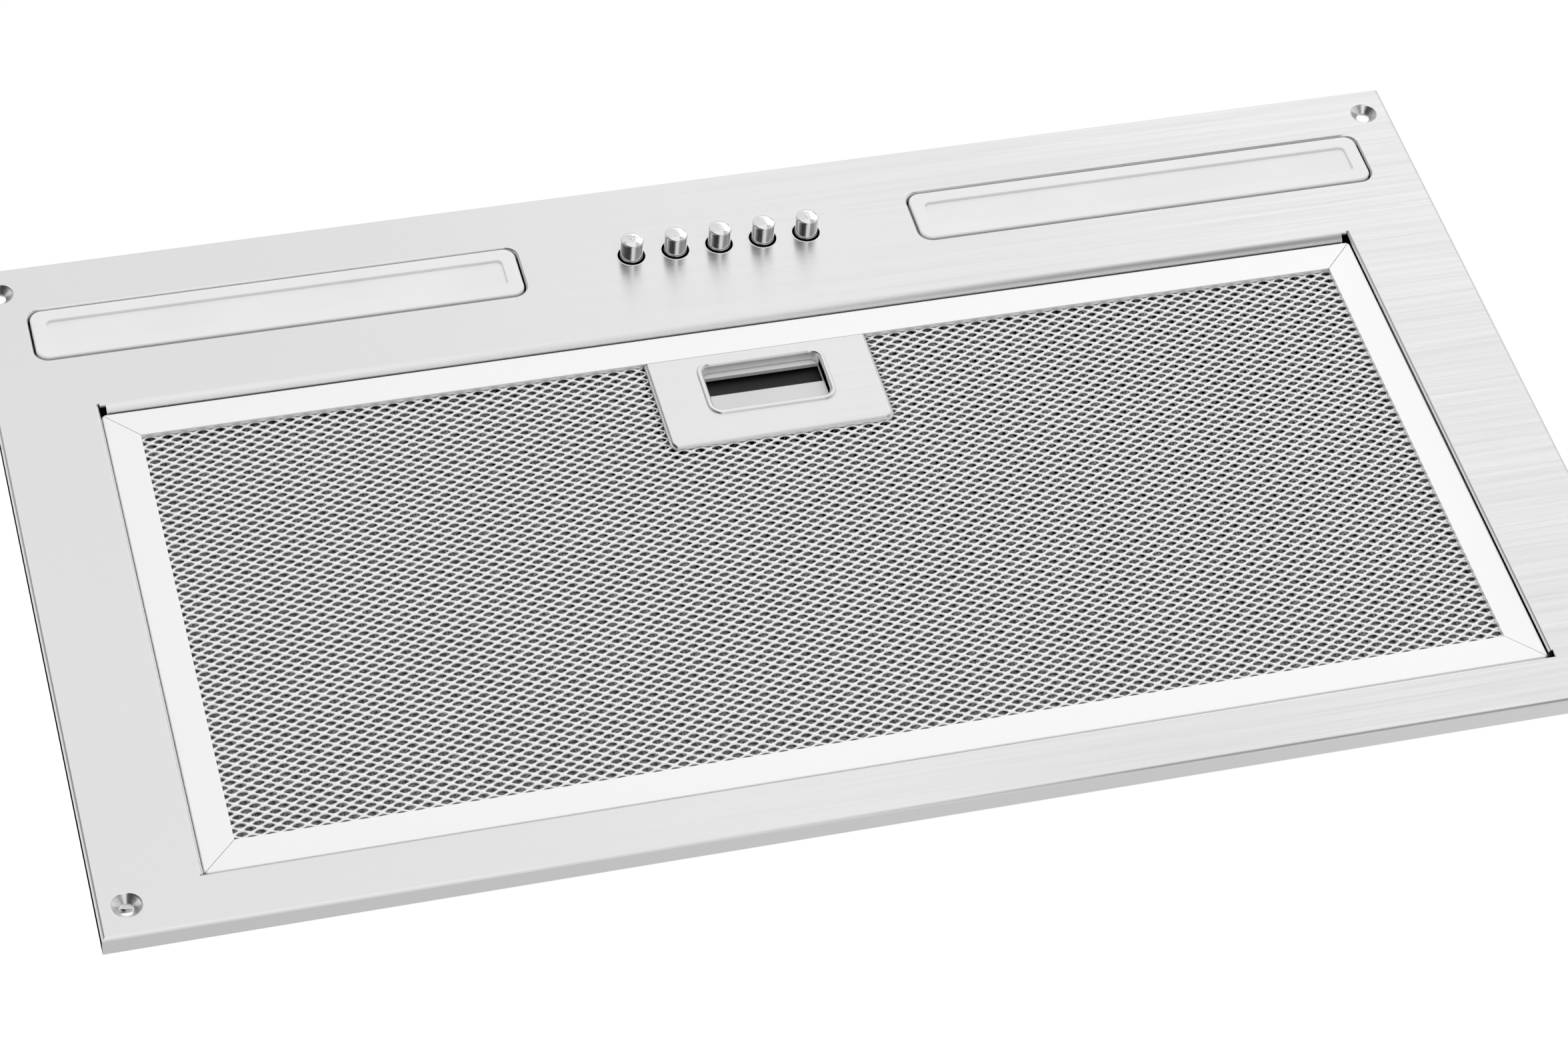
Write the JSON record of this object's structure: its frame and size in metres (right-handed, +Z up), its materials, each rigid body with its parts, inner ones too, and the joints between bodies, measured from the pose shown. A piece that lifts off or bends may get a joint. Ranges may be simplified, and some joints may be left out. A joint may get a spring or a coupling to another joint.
{
  "type": "range hood insert",
  "caption": "Built-in kitchen extractor insert: brushed face panel, swing-down mesh grease filter, lamps, push buttons and a ducted blower housing.",
  "frame": {"origin": "middle of the mounting plane: the rim of the panel skirt, which meets the underside of the cabinet; as installed", "axes": "+X right and +Z up as installed, +Y from the front edge with the buttons towards the wall"},
  "size_m": [0.52, 0.294, 0.1985],
  "materials": {
    "panel_steel": "fine brushed stainless",
    "galvanised": "galvanised sheet",
    "screw_steel": "zinc plated",
    "spring_steel": "bright spring wire and strip",
    "motor_steel": "satin paint",
    "rail_aluminium": "satin anodised",
    "mesh_aluminium": "bright expanded mesh and sheet",
    "latch_grey": "light grey, satin",
    "button_chrome": "bright chrome",
    "white_plastic": "white, semi gloss",
    "frosted_lens": "frosted translucent",
    "led_board": "white solder mask",
    "black_plastic": "moulded black",
    "wheel_grey": "dark grey",
    "light_plastic": "light grey",
    "brass": "bright",
    "rubber": "matt"
  },
  "bodies": {
    "root": {"blower_hangers": "galvanised", "button_spring_light": "spring_steel", "button_spring_off": "spring_steel", "button_spring_speed_1": "spring_steel", "button_spring_speed_2": "spring_steel", "button_spring_speed_3": "spring_steel", "cable_gland": "black_plastic", "damper_pin": "screw_steel", "face_panel": "panel_steel", "housing_end_left": "galvanised", "housing_end_right": "galvanised", "housing_shell": "galvanised", "inlet_guard": "black_plastic", "lamp_bezel_left": "white_plastic", "lamp_bezel_right": "white_plastic", "lamp_clips": "spring_steel", "lamp_led_board_left": "led_board", "lamp_led_board_right": "led_board", "lamp_lens_left": "frosted_lens", "lamp_lens_right": "frosted_lens", "lamp_tray_left": "mesh_aluminium", "lamp_tray_right": "mesh_aluminium", "led_driver": "light_plastic", "motor_bushes": "rubber", "motor_can": "motor_steel", "motor_capacitor": "light_plastic", "outlet_collar": "galvanised", "pan_head_screws": "screw_steel", "scroll_clips": "spring_steel", "scroll_lower": "black_plastic", "scroll_upper": "black_plastic", "stud_nuts": "screw_steel", "switch_body": "black_plastic", "switch_bracket": "galvanised", "switch_terminals": "brass", "terminal_block": "light_plastic", "terminal_box": "light_plastic", "terminal_box_lid": "light_plastic", "weld_studs": "screw_steel"},
    "button_light": {"button_light": "button_chrome"},
    "button_speed_3": {"button_speed_3": "button_chrome"},
    "button_speed_2": {"button_speed_2": "button_chrome"},
    "button_speed_1": {"button_speed_1": "button_chrome"},
    "button_off": {"button_off": "button_chrome"},
    "latch": {"latch_slider": "latch_grey"},
    "filter": {"filter_rail_front": "rail_aluminium", "filter_rail_back": "rail_aluminium", "filter_rail_left": "rail_aluminium", "filter_rail_right": "rail_aluminium", "filter_mesh_outer": "mesh_aluminium", "filter_mesh_core": "mesh_aluminium", "filter_mesh_inner": "mesh_aluminium", "filter_pivots": "screw_steel", "filter_handle_plate": "rail_aluminium", "latch_case": "black_plastic", "latch_spring": "spring_steel"},
    "blower_wheel": {"impeller": "wheel_grey", "motor_shaft": "screw_steel"},
    "flap_front": {"damper_flap_front": "galvanised"},
    "flap_rear": {"damper_flap_rear": "galvanised"}
  },
  "joints": [
    {"name": "press_light", "type": "slide", "parent": "root", "child": "button_light", "axis": [0, 0, 1], "range_m": [0, 0.0035], "stiffness_N_per_m": 400, "springref_m": -0.0005, "deforming": ["button_spring_light"]},
    {"name": "press_speed_3", "type": "slide", "parent": "root", "child": "button_speed_3", "axis": [0, 0, 1], "range_m": [0, 0.0035], "stiffness_N_per_m": 400, "springref_m": -0.0005, "deforming": ["button_spring_speed_3"]},
    {"name": "press_speed_2", "type": "slide", "parent": "root", "child": "button_speed_2", "axis": [0, 0, 1], "range_m": [0, 0.0035], "stiffness_N_per_m": 400, "springref_m": -0.0005, "deforming": ["button_spring_speed_2"]},
    {"name": "press_speed_1", "type": "slide", "parent": "root", "child": "button_speed_1", "axis": [0, 0, 1], "range_m": [0, 0.0035], "stiffness_N_per_m": 400, "springref_m": -0.0005, "deforming": ["button_spring_speed_1"]},
    {"name": "press_off", "type": "slide", "parent": "root", "child": "button_off", "axis": [0, 0, 1], "range_m": [0, 0.0035], "stiffness_N_per_m": 400, "springref_m": -0.0005, "deforming": ["button_spring_off"]},
    {"name": "filter_swing", "type": "hinge", "parent": "root", "child": "filter", "pos_m": [0, 0.1242, -0.0033], "axis": [1, 0, 0], "range_deg": [0, 90]},
    {"name": "latch_slide", "type": "slide", "parent": "filter", "child": "latch", "axis": [0, 1, 0], "range_m": [-0.0028, 0.0017], "stiffness_N_per_m": 300, "deforming": ["latch_spring"]},
    {"name": "blower_spin", "type": "hinge", "parent": "root", "child": "blower_wheel", "pos_m": [-0.075, -0.037, 0.09], "axis": [0, 0, 1], "continuous": true},
    {"name": "flap_front_swing", "type": "hinge", "parent": "root", "child": "flap_front", "pos_m": [0.113, -0.0645, 0.159], "axis": [-1, 0, 0], "range_deg": [0, 75]},
    {"name": "flap_rear_swing", "type": "hinge", "parent": "root", "child": "flap_rear", "pos_m": [0.113, -0.0645, 0.159], "axis": [1, 0, 0], "range_deg": [0, 75]}
  ]
}
